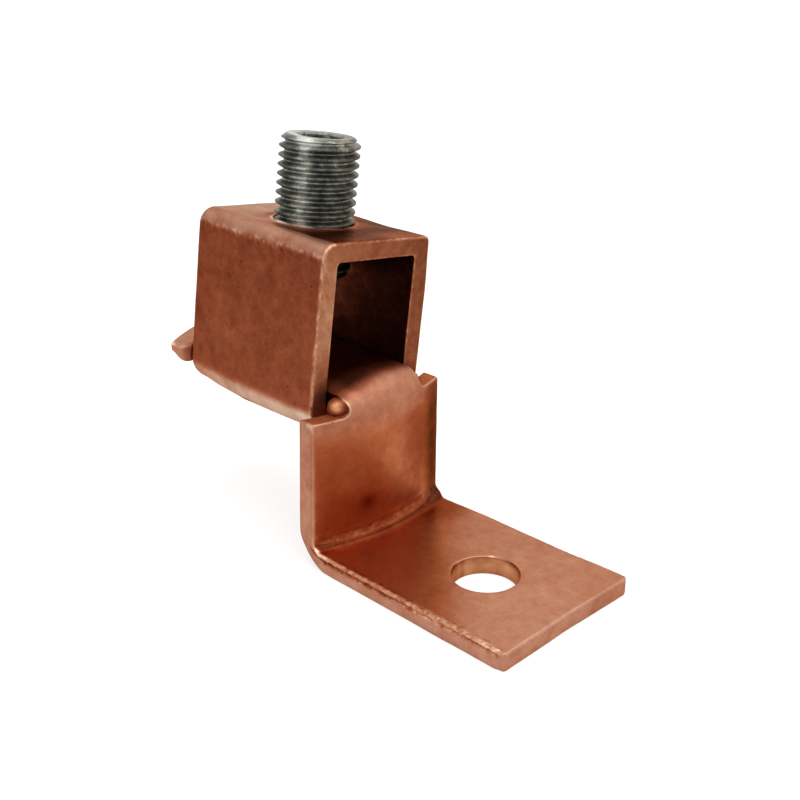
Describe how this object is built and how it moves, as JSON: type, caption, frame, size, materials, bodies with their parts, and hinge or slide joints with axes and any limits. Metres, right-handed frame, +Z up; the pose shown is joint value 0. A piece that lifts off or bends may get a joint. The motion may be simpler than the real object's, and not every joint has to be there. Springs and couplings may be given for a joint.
{
  "type": "offset terminal lug",
  "caption": "Offset copper terminal lug: bent strap with a stud hole in its foot, square collar round the upper leg, and a threaded set screw that clamps a conductor.",
  "frame": {"origin": "axis of the stud hole at the underside of the foot", "axes": "+Z up along the stud hole, +X towards the tip of the foot and along the conductor, +Y across the strap"},
  "size_m": [0.0674, 0.0252, 0.0541],
  "materials": {
    "strap_copper": "tumbled bare copper",
    "collar_copper": "tumbled bare copper",
    "screw_zinc": "zinc-plated steel"
  },
  "bodies": {
    "lug": {"strap": "strap_copper", "collar": "collar_copper"},
    "screw": {"set_screw": "screw_zinc"}
  },
  "joints": [
    {"name": "screw_travel", "type": "slide", "parent": "lug", "child": "screw", "axis": [0, 0.1426, 0.9898], "range_m": [-0.0099, 0.004]}
  ]
}
